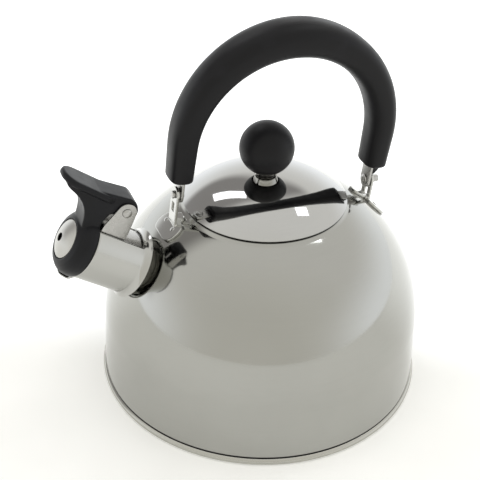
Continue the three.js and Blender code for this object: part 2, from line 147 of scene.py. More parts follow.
class Link:
    """A socket of a finish, whose arithmetic adds the Math nodes it needs."""

    def __init__(self, finish, socket):
        self.finish = finish
        self.socket = socket

    def maths(self, operation, *values):
        return self.finish.add("ShaderNodeMath", {"operation": operation}, values)

    def __add__(self, other):
        return self.maths("ADD", self, other)

    def __sub__(self, other):
        return self.maths("SUBTRACT", self, other)

    def __rsub__(self, other):
        return self.maths("SUBTRACT", other, self)

    def __mul__(self, other):
        return self.maths("MULTIPLY", self, other)

    def __truediv__(self, other):
        return self.maths("DIVIDE", self, other)

    __radd__ = __add__
    __rmul__ = __mul__

    def ramp(self, low, high, start=0.0, end=1.0):
        """Runs smoothly from start to end as the value goes from low to high."""
        return self.finish.add("ShaderNodeMapRange", {"interpolation_type": "SMOOTHSTEP"},
                               {"Value": self, "From Min": low, "From Max": high,
                                "To Min": start, "To Max": end})


class Finish:
    """A material, or the studio's surround, built node by node."""

    def __init__(self, name, owner=None):
        self.owner = owner or bpy.data.materials.new(name)
        self.owner.use_nodes = True
        self.tree = self.owner.node_tree
        self.tree.nodes.clear()

    def add(self, kind, settings=None, values=(), out=0):
        """One node: its settings first, then the values or links of its sockets."""
        node = self.tree.nodes.new(kind)
        for key, value in (settings or {}).items():
            setattr(node, key, value)
        for key, value in values.items() if isinstance(values, dict) else enumerate(values):
            if isinstance(value, Link):
                self.tree.links.new(value.socket, node.inputs[key])
            else:
                node.inputs[key].default_value = value
        return Link(self, node.outputs[out]) if node.outputs else node

    def parts(self, vector):
        """The three numbers of a vector."""
        node = self.add("ShaderNodeSeparateXYZ", None, [vector]).socket.node
        return [Link(self, node.outputs[axis]) for axis in "XYZ"]

    def noise(self, place, scale, detail=2.0, rough=0.5):
        return self.add("ShaderNodeTexNoise", {"noise_dimensions": "3D"},
                        {"Vector": place, "Scale": scale, "Detail": detail, "Roughness": rough})

    def mixed(self, factor, first, second):
        """A colour between two colours."""
        full = [(*c, 1.0) if isinstance(c, tuple) else c for c in (first, second)]
        return self.add("ShaderNodeMix", {"data_type": "RGBA"},
                        {0: factor, 6: full[0], 7: full[1]}, out=2)

    def close(self, shader, end="ShaderNodeOutputMaterial"):
        self.add(end, None, {"Surface": shader})
        return self.owner


def wheel_lines(finish, frame_of=None):
    """Place on the piece, and a value that changes fast along its outline and slowly round its axis."""
    place = finish.add("ShaderNodeTexCoord", out="Object")
    if frame_of is not None:
        place = finish.add("ShaderNodeMapping", {"vector_type": "TEXTURE"},
                           {"Vector": place, "Location": frame_of.to_translation() * MM,
                            "Rotation": frame_of.to_euler()})
    x, y, z = finish.parts(place)
    radius = place.maths("SQRT", x * x + y * y + 1e-8)
    around = finish.add("ShaderNodeCombineXYZ", None,
                        [x / radius * 2.5, y / radius * 2.5, (z - radius) * 2600.0])
    return place, z, finish.noise(around, 1.0, 4.0, 0.6)


def polished_steel(name, colour=POLISHED, gloss=0.085, lines=0.05, frame_of=None, seam_shade=()):
    """Wheel-polished stainless: wipe marks in its gloss, and painted seam shade, near black, fading out
    from one height to another.
    """
    finish = Finish(name)
    place, z, line = wheel_lines(finish, frame_of)
    cloud = finish.noise(place, 22.0, 3.0)
    smear = finish.noise(place, 140.0, 4.0, 0.65)
    tone = finish.mixed(cloud.ramp(0.35, 0.7), tuple(0.97 * c for c in colour), colour)
    tone = finish.mixed(line.ramp(0.3, 0.7, 0.0, 0.25), tone, tuple(min(1, 1.06 * c) for c in colour))
    rough = gloss + cloud.ramp(0.45, 0.75, 0.0, 0.03) + smear.ramp(0.5, 0.8, 0.0, 0.03)
    # Painted shade: near-black colour, a little rougher too, fading out between the two heights at a seam.
    for full_shade_z, no_shade_z in seam_shade:
        seam_shade_mask = z.ramp(full_shade_z * MM, no_shade_z * MM, 1.0, 0.0)
        tone = finish.mixed(seam_shade_mask, tone, (0.008, 0.008, 0.01))
        rough = rough + seam_shade_mask * 0.4
    bump = finish.add("ShaderNodeBump", None,
                      {"Strength": lines, "Distance": 0.00004, "Height": line})
    shader = finish.add("ShaderNodeBsdfPrincipled", None,
                        {"Base Color": tone, "Metallic": 1.0, "Roughness": rough, "Normal": bump})
    return finish.close(shader)


def placed(piece, material, body, slot, *stands_for):
    """Gives a piece its material and the body it moves with, and hides the nodes it stands for; the slot
    is not used.
    """
    piece.data.materials.clear()
    piece.data.materials.append(material)
    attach(piece, body)
    if stands_for:
        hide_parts(*stands_for)
    return piece


body_outline = [*wall_outline(0), *SEAT_ROLL, *SEAT_NECK, *wall_outline(-SHEET)[::-1]]
body_skin = turned("kettle_body", body_outline, BODY_FACETS)
outlet = turned("outlet_punch", [(0, 70), (OUTLET_R, 70), (OUTLET_R, 110), (0, 110)], 64,
                SPOUT_FRAME, joined=False)
shaded(carved(body_skin, outlet))
# Painted shade, near black, low on the body in the groove above the base's roll and high on the seat in
# the gap under the lid's rim.
placed(body_skin, polished_steel("polished_body", seam_shade=((5.0, 5.6), (113.9, 113.4))), "kettle",
       "polished_steel", "body_shell")

# ---------------------------------------------------------------------------------------------
# Base. A pressed steel pan whose edge is rolled over the foot of the wall, with a groove
# above the roll where the two meet; the groove's darkness is painted shade on the body's finish.
RIM_R = 94.99
RIM_ROLL = 2.1


def arc(centre_x, centre_y, radius, start, end, steps):
    """Points of an arc, with its angles in degrees."""
    return [(centre_x + radius * math.cos(math.radians(a)), centre_y + radius * math.sin(math.radians(a)))
            for a in np.linspace(start, end, steps + 1)]


roll = arc(RIM_R - RIM_ROLL, RIM_ROLL, RIM_ROLL, -120, 150, 22)
pan_outline = [(0, 1.8), (84, 1.8), (87, 1.5), (89, 0.6), *roll, (90.2, 3), (89.2, 2.8), (0, 2.8)]
base_pan = turned("base_pan_rim", pan_outline, BODY_FACETS, joined=False)
placed(base_pan, polished_steel("rolled_rim", (0.47, 0.465, 0.43), 0.2, 0.1), "kettle",
       "polished_steel", "base_pan")

# ---------------------------------------------------------------------------------------------
# Heat-spreading disc. An aluminium plate pressed onto the underside, faced on a lathe, so it
# carries a fine spiral of tool marks.
DISC_R = 74.0


def faced_aluminium():
    finish = Finish("faced_aluminium")
    place, _, line = wheel_lines(finish)
    stain = finish.noise(place, 30.0, 5.0, 0.6)
    tone = finish.mixed(stain.ramp(0.35, 0.7), (0.36, 0.36, 0.37), (0.52, 0.52, 0.52))
    bump = finish.add("ShaderNodeBump", None, {"Strength": 0.35, "Distance": 0.0001, "Height": line})
    shader = finish.add("ShaderNodeBsdfPrincipled", None,
                        {"Base Color": tone, "Metallic": 1.0, "Normal": bump,
                         "Roughness": stain.ramp(0.3, 0.8, 0.3, 0.5)})
    return finish.close(shader)


rings = []
for k in range(37):
    r = DISC_R - 1.0 - 2.0 * k * 0.98
    rings += [(r, 0.0), (r - 0.6, 0.0), (r - 0.8, 0.12), (r - 1.2, 0.12), (r - 1.4, 0.0)]
disc_outline = [(0, 1.5), (DISC_R - 0.3, 1.5), (DISC_R, 1.2), (DISC_R, 0.6), (DISC_R - 0.6, 0.05),
                *[p for p in rings if p[0] > 1], (0, 0)]
heat_disc = turned("heat_spreader", disc_outline, 160, joined=False)
placed(heat_disc, faced_aluminium(), "kettle", "base_aluminium", "heat_disc")

# ---------------------------------------------------------------------------------------------
# Spout neck. A short drawn tube, cut to the dome's curve and welded to it inside, so a fine line
# runs round the joint. It is left dull, not polished.
NECK_R = 13.6
NECK_TO = 103.0


def dome_radius(height):
    """The dome's outer radius at a height."""
    outline = np.array(wall_outline(0))
    return np.interp(height, outline[:, 1], outline[:, 0])


def dome_height(radius):
    """The dome's outer height at a radius."""
    outline = np.array(wall_outline(0))[::-1]
    return np.interp(radius, outline[:, 0], outline[:, 1])


def station_on_dome(up, across):
    """Where a line along the spout, at a distance above and beside its axis, leaves the dome."""
    low, high = np.full_like(up, 60.0), np.full_like(up, 115.0)
    for _ in range(40):
        middle = (low + high) / 2
        x = -middle * math.cos(SPOUT_TILT) + up * math.sin(SPOUT_TILT)
        z = SPOUT_ROOT_Z + middle * math.sin(SPOUT_TILT) + up * math.cos(SPOUT_TILT)
        inside = np.hypot(x, across) < dome_radius(z)
        low, high = np.where(inside, middle, low), np.where(inside, high, middle)
    return low


def neck_rings():
    angles = np.linspace(0, 2 * np.pi, 128, endpoint=False)

    def ring(radius, station):
        up, across = radius * np.cos(angles), radius * np.sin(angles)
        where = station(up, across) if callable(station) else np.full_like(up, station)
        return list(zip(up, across, where))

    def above(lift):
        return lambda up, across: station_on_dome(up, across) + lift

    inner = NECK_R - SHEET
    return [ring(NECK_R, above(0.3)), ring(NECK_R, NECK_TO - 0.3), ring(NECK_R - 0.3, NECK_TO),
            ring(inner + 0.2, NECK_TO), ring(inner, NECK_TO - 0.3), ring(inner, above(0.05)),
            ring(NECK_R - 0.2, above(0.05))]


def satin_steel(name, colour=(0.47, 0.465, 0.45), rough=0.26, metal=1.0):
    """Stamped stainless left as it comes from the mill, with a short grain."""
    finish = Finish(name)
    place = finish.add("ShaderNodeTexCoord", out="Object")
    grain_place = finish.add("ShaderNodeMapping", None, {"Vector": place, "Scale": (1.0, 6.0, 1.0)})
    grain = finish.noise(grain_place, 900.0, 5.0, 0.7)
    cloud = finish.noise(place, 120.0, 3.0)
    tone = finish.mixed(grain.ramp(0.35, 0.7), tuple(0.9 * c for c in colour), colour)
    bump = finish.add("ShaderNodeBump", None, {"Strength": 0.12, "Distance": 0.00004, "Height": grain})
    shader = finish.add("ShaderNodeBsdfPrincipled", None,
                        {"Base Color": tone, "Metallic": metal, "Normal": bump,
                         "Roughness": rough + cloud.ramp(0.3, 0.7, -0.05, 0.08)})
    return finish.close(shader)


neck = lofted("spout_neck_tube", neck_rings(), ends_joined=True, place=SPOUT_FRAME)
placed(neck, satin_steel("dull_neck", (0.6, 0.59, 0.55), 0.3, 0.6), "kettle", "polished_steel",
       "spout_neck")

# ---------------------------------------------------------------------------------------------
# Spout sleeve. A wider rolled tube pushed over the neck, with a flared rim at its rear end, an open
# slot along its top for the whistle's hinge, and a small pouring lip at the bottom of its mouth.
SLEEVE_R = 17.9
SLEEVE_FROM = 94.3
SLEEVE_TO = 127.3
SLOT_HALF = math.asin(10.0 / SLEEVE_R)
LIP_HALF = math.asin(8.5 / SLEEVE_R)
LIP_SPREAD, LIP_REACH, LIP_LONG = 2.2, 3.4, 4.0
FLARE_R = 5.0


def smooth(value):
    value = np.clip(value, 0, 1)
    return value * value * (3 - 2 * value)


def joined(name, *pieces):
    """Several shells as one piece."""
    bm = bmesh.new()
    for piece in pieces:
        bm.from_mesh(piece.data)
        bpy.data.objects.remove(piece)
    mesh = bpy.data.meshes.new(name)
    bm.to_mesh(mesh)
    bm.free()
    piece = bpy.data.objects.new(name, mesh)
    bpy.context.collection.objects.link(piece)
    return piece


def sleeve_sheet():
    """The rolled sheet: its slot left open from the flare to the mouth, its lip drawn out."""
    slot = np.linspace(-SLOT_HALF, SLOT_HALF, 25)
    rest = np.linspace(SLOT_HALF, 2 * np.pi - SLOT_HALF, 120)[1:-1]
    angles = np.concatenate([slot, rest])
    flare = arc(SLEEVE_R + FLARE_R, SLEEVE_FROM + 4.6, FLARE_R, 234, 180, 12)
    profile = flare + [(SLEEVE_R, s) for s in np.linspace(SLEEVE_FROM + FLARE_R, SLEEVE_TO, 26)]
    bm = bmesh.new()
    rows = []
    for radius, station in profile:
        far = smooth((station - SLEEVE_TO + LIP_LONG) / LIP_LONG)
        row = []
        for angle in angles:
            lip = 1 - abs(abs((angle + np.pi) % (2 * np.pi) - np.pi) - np.pi) / LIP_HALF
            r = radius + far * LIP_SPREAD * smooth(3 * lip)
            mouth = station + far * LIP_REACH * smooth(1.5 * lip - 0.3)
            row.append(bm.verts.new((r * math.cos(angle), r * math.sin(angle), mouth)))
        rows.append(row)
    count = len(angles)
    for low, high in zip(rows, rows[1:]):
        for i in range(count):
            if i < len(slot) - 1 and low[0].co.z > SLEEVE_FROM + 4.9:
                continue
            j = (i + 1) % count
            bm.faces.new((low[i], low[j], high[j], high[i]))
    loose = [v for v in bm.verts if not v.link_faces]
    bmesh.ops.delete(bm, geom=loose, context="VERTS")
    return from_bmesh("spout_sleeve_tube", bm, SPOUT_FRAME, crease=50)


def pressed(piece, thickness, edge=0.18, offset=-1.0):
    """Gives a sheet its thickness and breaks its edges."""
    modified(piece, "SOLIDIFY", thickness=thickness * MM, offset=offset, use_even_offset=True)
    modified(piece, "BEVEL", width=edge * MM, segments=2, limit_method="ANGLE",
             angle_limit=math.radians(50))
    return shaded(settled(piece))


def facing_out(piece, frame_of):
    """Turns a sheet's faces away from the axis it is rolled round."""
    mesh = piece.data
    back = (Matrix.Scale(MM, 4) @ frame_of).inverted()
    face = mesh.polygons[len(mesh.polygons) // 2]
    centre = back @ face.center
    normal = back.to_3x3() @ face.normal
    if centre.x * normal.x + centre.y * normal.y < 0:
        mesh.flip_normals()
    return piece


back_wall = turned("sleeve_back", [(NECK_R + 0.35, SLEEVE_FROM + 1.4), (17.4, SLEEVE_FROM + 1.4),
                                   (17.4, SLEEVE_FROM + 2.3), (NECK_R + 0.35, SLEEVE_FROM + 2.3)],
                   128, SPOUT_FRAME)
sleeve = joined("spout_sleeve_tube", pressed(facing_out(sleeve_sheet(), SPOUT_FRAME), 0.7), back_wall)
placed(shaded(sleeve), polished_steel("polished_sleeve", (0.46, 0.46, 0.44), 0.12, 0.08, SPOUT_FRAME),
       "kettle", "polished_steel", "spout_sleeve")

# ---------------------------------------------------------------------------------------------
# Hinge saddle. A bent piece of satin steel sheet spot-welded inside the sleeve, under its slot,
# with an ear standing on each side to carry the lever's pin.
PIN_S = 119.0
PIN_N = 29.6
PIN_R = 1.5
EAR_OUTER = 9.0
EAR_T = 0.9
EAR_R = 5.4
SADDLE_R = 16.7
SADDLE_HALF = math.asin(12.9 / SADDLE_R)
ALONG_SPOUT = Matrix(((0, 1, 0, 0), (0, 0, 1, 0), (1, 0, 0, 0), (0, 0, 0, 1)))


def softened(outline, radius, steps=4):
    """The outline with each corner rounded off by at most the radius."""
    points = [np.array(p, float) for p in outline]
    rounded = []
    for i, here in enumerate(points):
        back, ahead = points[i - 1] - here, points[(i + 1) % len(points)] - here
        reach = min(radius, 0.45 * np.linalg.norm(back), 0.45 * np.linalg.norm(ahead))
        start = here + back / np.linalg.norm(back) * reach
        end = here + ahead / np.linalg.norm(ahead) * reach
        for t in np.linspace(0, 1, steps + 1):
            rounded.append(tuple((1 - t) ** 2 * start + 2 * t * (1 - t) * here + t * t * end))
    return rounded


def plate(name, outlines, thickness, edge=0.15, place=Matrix.Identity(4)):
    """A flat plate in millimetres from closed outlines, the first its edge and the rest its holes."""
    flat = bpy.data.curves.new(name, "CURVE")
    flat.dimensions = "2D"
    flat.fill_mode = "BOTH"
    flat.extrude = thickness / 2 - edge
    flat.bevel_depth = edge
    flat.offset = -edge
    flat.bevel_resolution = 2
    for outline in outlines:
        spline = flat.splines.new("POLY")
        spline.points.add(len(outline) - 1)
        for point, (x, y) in zip(spline.points, outline):
            point.co = (x, y, 0, 1)
        spline.use_cyclic_u = True
    stencil = bpy.data.objects.new(name, flat)
    bpy.context.collection.objects.link(stencil)
    bpy.context.view_layer.update()
    evaluated = stencil.evaluated_get(bpy.context.evaluated_depsgraph_get())
    bm = bmesh.new()
    bm.from_mesh(bpy.data.meshes.new_from_object(evaluated))
    bpy.data.objects.remove(stencil)
    bmesh.ops.remove_doubles(bm, verts=bm.verts, dist=1e-4)
    return from_bmesh(name, bm, place, crease=50)


SATIN = satin_steel("satin_steel")
saddle_angles = np.linspace(-SADDLE_HALF, SADDLE_HALF, 40)
saddle_rows = [[(SADDLE_R * math.cos(a), SADDLE_R * math.sin(a), s) for a in saddle_angles]
               for s in np.linspace(99, 126.6, 16)]
saddle_floor = lofted("saddle_floor", saddle_rows, ring_closed=False, place=SPOUT_FRAME)
pressed(facing_out(saddle_floor, SPOUT_FRAME), EAR_T)
ear_outline = [(PIN_S - 7.3, 14.0), (PIN_S + 7.6, 14.0), (PIN_S + 7.6, 18.7),
               *arc(PIN_S, PIN_N, EAR_R, 12, 168, 28), (PIN_S - 7.3, 18.7)]
ears = [plate("ear", [softened(ear_outline, 0.8, 3)], EAR_T,
              place=SPOUT_FRAME @ ALONG_SPOUT @ Matrix.Translation((0, 0, side * (EAR_OUTER - EAR_T / 2))))
        for side in (-1, 1)]
saddle = joined("hinge_saddle_ears", saddle_floor, *ears)
placed(shaded(saddle), SATIN, "kettle", "satin_steel", "hinge_saddle")

# ---------------------------------------------------------------------------------------------
# Lever pin. A steel rivet through both ears and the lever, domed and peened at both ends.
PIN_HEAD_R = 2.6
PIN_HEAD_T = 1.0
PIN_REACH = EAR_OUTER + 0.3


def peened(name, shank, head, reach, height, place):
    """A round pin along Z with a low domed head at each end."""
    dome = [(head * math.cos(t), height * math.sin(t)) for t in np.linspace(0, math.pi / 2, 10)]
    front = [(r, reach + z) for r, z in dome]
    back = [(r, -reach - z) for r, z in reversed(dome)]
    outline = back + [(shank, -reach), (shank, reach)] + front
    return turned(name, outline, 48, place, joined=False)


ON_PIN = SPOUT_FRAME @ Matrix.Translation((PIN_N, 0, PIN_S)) @ Matrix.Rotation(math.pi / 2, 4, "X")
lever_pin = peened("lever_pin_rivet", PIN_R, PIN_HEAD_R, PIN_REACH, PIN_HEAD_T, ON_PIN)
placed(lever_pin, SATIN, "kettle", "satin_steel", "lever_pin")

# ---------------------------------------------------------------------------------------------
# Lever spring. Four turns of spring wire round the pin, inside the lever, which press the cap
# shut. The coil is centred on the pin's length.
SPRING_TURNS = 4.0
SPRING_R = 2.5
SPRING_LONG = 4.8
WIRE_R = 0.35


def grow(name, build, sizes, material):
    """A plain mesh from a geometry tree that build fills with nodes, its sizes being named inputs."""
    tree = bpy.data.node_groups.new(name, "GeometryNodeTree")
    tree.interface.new_socket("Geometry", in_out="OUTPUT", socket_type="NodeSocketGeometry")
    tree.interface.new_socket("Geometry", in_out="INPUT", socket_type="NodeSocketGeometry")
    ids = {}
    for label, value in sizes.items():
        kind = {int: "NodeSocketInt", float: "NodeSocketFloat"}.get(type(value), "NodeSocketVector")
        ids[label] = tree.interface.new_socket(label, in_out="INPUT", socket_type=kind).identifier
    into = tree.nodes.new("NodeGroupInput")
    made = build(tree, into)
    real = tree.nodes.new("GeometryNodeRealizeInstances")
    coat = tree.nodes.new("GeometryNodeSetMaterial")
    coat.inputs["Material"].default_value = material
    end = tree.nodes.new("NodeGroupOutput")
    tree.links.new(made, real.inputs[0])
    tree.links.new(real.outputs[0], coat.inputs["Geometry"])
    tree.links.new(coat.outputs[0], end.inputs[0])
    piece = bpy.data.objects.new(name, bpy.data.meshes.new(name))
    bpy.context.collection.objects.link(piece)
    modifier = piece.modifiers.new("Grow", "NODES")
    modifier.node_group = tree
    for label, value in sizes.items():
        modifier[ids[label]] = value
    bpy.context.view_layer.update()
    return settled(piece)


def spring_tree(tree, into):
    """A tube along a spiral."""
    spiral = tree.nodes.new("GeometryNodeCurveSpiral")
    spiral.inputs["Resolution"].default_value = 28
    for socket, label in (("Rotations", "Turns"), ("Start Radius", "Coil radius"),
                          ("End Radius", "Coil radius"), ("Height", "Coil length")):
        tree.links.new(into.outputs[label], spiral.inputs[socket])
    wire = tree.nodes.new("GeometryNodeCurvePrimitiveCircle")
    wire.inputs["Resolution"].default_value = 10
    tree.links.new(into.outputs["Wire radius"], wire.inputs["Radius"])
    tube = tree.nodes.new("GeometryNodeCurveToMesh")
    tube.inputs["Fill Caps"].default_value = True
    tree.links.new(spiral.outputs[0], tube.inputs["Curve"])
    tree.links.new(wire.outputs[0], tube.inputs["Profile Curve"])
    return tube.outputs[0]


SPRING_STEEL = satin_steel("spring_wire_steel", (0.33, 0.33, 0.34), 0.3)
spring = grow("lever_spring_coil", spring_tree,
              {"Turns": SPRING_TURNS, "Coil radius": SPRING_R * MM, "Coil length": SPRING_LONG * MM,
               "Wire radius": WIRE_R * MM}, SPRING_STEEL)
to_pin = Matrix.Scale(MM, 4) @ ON_PIN @ Matrix.Scale(1 / MM, 4)
spring.data.transform(to_pin @ Matrix.Translation((0, 0, -SPRING_LONG / 2 * MM)))
spring.data.shade_smooth()
placed(spring, SPRING_STEEL, "kettle", "spring_wire", "lever_spring")

# ---------------------------------------------------------------------------------------------
# Thumb lever and whistle cap. One moulding in black heat-proof plastic: a cup over the spout's
# mouth, an arm that swings on the pin, and a flat thumb tongue on top.
CAP_R = 18.3
CAP_FROM = 127.6
CAP_TO = 137.6
WHISTLE_R = 10.7
ARM_WIDE = 15.4
TONGUE_S, TONGUE_N = 142.2, 33.4
TONGUE_LONG, TONGUE_WIDE, TONGUE_THICK, TONGUE_CORNER = 34.0, 19.0, 3.6, 8.5
TONGUE_DIP = math.radians(2.6)
LYING_ON_SPOUT = Matrix(((0, 0, 1, 0), (0, 1, 0, 0), (1, 0, 0, 0), (0, 0, 0, 1)))


def black_moulding(name, colour=(0.0045, 0.0044, 0.0056), rough=0.5, pebble=0.10):
    """Black phenolic: a fine moulded texture, with a few paler rubbed patches."""
    finish = Finish(name)
    place = finish.add("ShaderNodeTexCoord", out="Object")
    texture = finish.noise(place, 2600.0, 3.0, 0.6)
    wear = finish.noise(place, 75.0, 5.0, 0.6)
    tone = finish.mixed(wear.ramp(0.5, 0.8), colour, tuple(1.7 * c for c in colour))
    bump = finish.add("ShaderNodeBump", None,
                      {"Strength": pebble, "Distance": 0.00006, "Height": texture})
    shader = finish.add("ShaderNodeBsdfPrincipled", None,
                        {"Base Color": tone, "Normal": bump, "Metallic": 0.0,
                         "Roughness": rough + wear.ramp(0.35, 0.75, -0.04, 0.08),
                         "Specular IOR Level": 0.22})
    return finish.close(shader)


def fused(name, voxel, rounds, *pieces):
    """Overlapping closed shells as one skin, with its inner corners eased as a moulding's are."""
    piece = joined(name, *pieces)
    modified(piece, "REMESH", mode="VOXEL", voxel_size=voxel * MM, use_smooth_shade=True)
    modified(piece, "SMOOTH", factor=0.5, iterations=rounds)
    return settled(piece)


def quadratic(start, pull, end, steps):
    """Points of a curve with one pull, after its start."""
    t = np.linspace(0, 1, steps + 1)[1:, None]
    a, b, c = np.array(start), np.array(pull), np.array(end)
    return [tuple(p) for p in (1 - t) ** 2 * a + 2 * t * (1 - t) * b + t * t * c]


def cubic(a, b, c, d, steps):
    """Points of a curve with two pulls, after its start."""
    return [tuple(p) for p in bezier((a, b, c, d), np.linspace(0, 1, steps + 1))[0][1:]]


def lever_side():
    """The arm's side outline: stations along the spout against heights above its axis."""
    outline = [(CAP_FROM, 15.2), (CAP_FROM, 19.4), (126.6, 24.5), (124.6, 26.0)]
    outline += arc(PIN_S, PIN_N, 6.6, -40, -220, 30)
    outline += quadratic(outline[-1], (115.6, 36.6), (119.5, 37.2), 8)
    outline += cubic(outline[-1], (126, 36.4), (138, 34.9), (150, 34.0), 12)
    outline += quadratic(outline[-1], (156.0, 33.4), (156.4, 32.0), 10)
    outline += quadratic(outline[-1], (156.2, 31.0), (152.8, 29.7), 8)
    outline += cubic(outline[-1], (143, 26.6), (139, 22), (137, 13), 16)
    return outline + [(134.6, 12.0), (132.0, 15.2)]


def rounded_rectangle(width, height, radius, steps=8):
    x, y = width / 2 - radius, height / 2 - radius
    corners = ((x, y, 0), (-x, y, 90), (-x, -y, 180), (x, -y, 270))
    return [p for cx, cy, start in corners for p in arc(cx, cy, radius, start, start + 90, steps)]


cup_outline = [(CAP_R, CAP_FROM), (CAP_R, 129.6), (17.9, 132), (16.8, 134.4), (14.6, 136.4),
               (11.6, CAP_TO), (WHISTLE_R + 0.3, CAP_TO), (WHISTLE_R + 0.3, CAP_TO - 1),
               (9.4, CAP_TO - 1), (9.4, 134.4), (13, 134), (16.4, 130.8), (16.6, CAP_FROM)]
cup = turned("cup", softened(cup_outline, 0.5, 3), 96, SPOUT_FRAME)
arm = plate("arm", [lever_side()], ARM_WIDE, 0.8, SPOUT_FRAME @ ALONG_SPOUT)
tongue_shape = rounded_rectangle(TONGUE_LONG, TONGUE_WIDE, TONGUE_CORNER)
tongue = plate("tongue", [tongue_shape], TONGUE_THICK, 1.2,
               SPOUT_FRAME @ Matrix.Translation((TONGUE_N, 0, TONGUE_S))
               @ Matrix.Rotation(TONGUE_DIP, 4, "Y") @ LYING_ON_SPOUT)
lever = fused("whistle_cap_lever", 0.36, 10, cup, arm, tongue)
BLACK_LEVER = black_moulding("black_lever", (0.0055, 0.0058, 0.0075), 0.38, 0.07)
placed(lever, BLACK_LEVER, "whistle_cap", "black_phenolic", "cap_lever")

# ---------------------------------------------------------------------------------------------
# Whistle. Two pressed steel discs set in the cap, one behind the other, each with a hole at its
# centre; steam between them makes the note. The outer one is domed and polished.
HOLE_R = 2.3


def dished(radius_out, front, bulge, thickness, steps=20):
    """Outline of a domed disc with a hole."""
    radii = np.linspace(radius_out, HOLE_R, steps)
    height = front + bulge * (1 - (radii / radius_out) ** 2)
    face = list(zip(radii, height))
    return face + [(r, z - thickness) for r, z in reversed(face)]


outer_disc = turned("whistle_front_disc", softened(dished(WHISTLE_R, CAP_TO - 0.1, 3.5, 0.6), 0.12, 2),
                    96, SPOUT_FRAME)
placed(outer_disc, polished_steel("polished_disc", (0.52, 0.515, 0.49), 0.36, 0.08, SPOUT_FRAME),
       "whistle_cap", "polished_steel", "whistle_outer_disc")
inner_disc = turned("whistle_back_disc", softened(dished(9.1, 135.4, 0.0, 0.6), 0.12, 2), 72, SPOUT_FRAME)
placed(inner_disc, SATIN, "whistle_cap", "satin_steel", "whistle_inner_disc")

# ---------------------------------------------------------------------------------------------
# Lid. A domed polished pressing with a narrow curled rim that rests on the body's seat, and a
# satin skirt inside it that keeps it in the opening.
LID_R = 46.1
LID_RIM_Z = 114.9
LID_CROWN_Z = 129.3
LID_FULLNESS = 2.6
LID_SHEET = 1.08


def lid_height(radius):
    foot = LID_RIM_Z + 0.7
    return foot + (LID_CROWN_Z - foot) * (1 - (radius / LID_R) ** LID_FULLNESS)


lid_radii = np.linspace(2.4, LID_R, 60)
lid_top = [(r, lid_height(r)) for r in lid_radii]
lid_curl = [(LID_R, LID_RIM_Z + 0.3), (LID_R - 0.1, LID_RIM_Z + 0.1), (LID_R - 0.4, LID_RIM_Z),
            (43.4, LID_RIM_Z)]
lid_under = [(r, lid_height(r) - LID_SHEET) for r in lid_radii[::-1] if r < 43.4]
lid = turned("lid_pressing", lid_top + lid_curl + lid_under, BODY_FACETS)
# Painted shade, near black, on the rim's lower edge, in the gap over the body's seat.
LID_STEEL = polished_steel("polished_lid", (0.5, 0.5, 0.49), 0.05, 0.04, seam_shade=((115.0, 115.3),))
placed(lid, LID_STEEL, "lid", "polished_steel", "lid_shell")
skirt_outline = [(40.5, 106.4), (41.4, 106.4), (41.4, LID_RIM_Z + 0.1), (40.5, LID_RIM_Z + 0.1)]
skirt = turned("lid_inner_skirt", softened(skirt_outline, 0.25, 3), 160)
placed(skirt, SATIN, "lid", "satin_steel", "lid_skirt")

# ---------------------------------------------------------------------------------------------
# Knob. A turned black ball that sits in a short tapered ferrule of polished steel on the lid's
# crown, drawn down by one screw with a washer under the lid.
KNOB_R = 15.2
KNOB_Z = 146.0
FERRULE_Z = LID_CROWN_Z + 0.3
FERRULE_H = 4.4
SOCKET_Z = FERRULE_Z + FERRULE_H + 0.3

BLACK_KNOB = black_moulding("black_knob", rough=0.46, pebble=0.12)
ferrule_outline = [(2.4, FERRULE_Z), (5.9, FERRULE_Z), (6.2, FERRULE_Z + 0.5), (7.6, FERRULE_Z + 4.0),
                   (7.4, FERRULE_Z + FERRULE_H), (2.4, FERRULE_Z + FERRULE_H)]
ferrule = turned("knob_steel_ferrule", softened(ferrule_outline, 0.35, 4), 96)
placed(ferrule, polished_steel("polished_ferrule", (0.56, 0.55, 0.52), 0.09, 0.05), "lid",
       "polished_steel", "knob_collar")
socket_turn = math.asin(8.2 / KNOB_R)
ball_side = [(KNOB_R * math.sin(t), KNOB_Z + KNOB_R * math.cos(t))
             for t in np.linspace(0, math.pi - socket_turn, 64)]
ball_outline = ball_side + [(8.2, SOCKET_Z), (2.3, SOCKET_Z), (2.3, KNOB_Z - 2), (0, KNOB_Z - 2)]
ball = turned("knob_ball_grip", ball_outline, 128, joined=False)
placed(ball, BLACK_KNOB, "lid", "black_phenolic", "knob_ball")
screw_head = LID_CROWN_Z - LID_SHEET - 1.4
screw_outline = [(0, screw_head - 2.3), (1.6, screw_head - 2.25), (3.0, screw_head - 1.7),
                 (3.8, screw_head - 0.3), (3.8, screw_head), (2, screw_head), (2, KNOB_Z - 4),
                 (0, KNOB_Z - 3)]
screw = turned("knob_fixing_screw", screw_outline, 48, joined=False)
placed(screw, SATIN, "lid", "satin_steel", "knob_screw")
washer_top = LID_CROWN_Z - LID_SHEET - 0.3
washer_outline = [(2.3, washer_top - 0.8), (4.6, washer_top - 0.8), (4.6, washer_top), (2.3, washer_top)]
washer = turned("knob_screw_washer", softened(washer_outline, 0.2, 3), 48)
placed(washer, SATIN, "lid", "satin_steel", "knob_lock_washer")

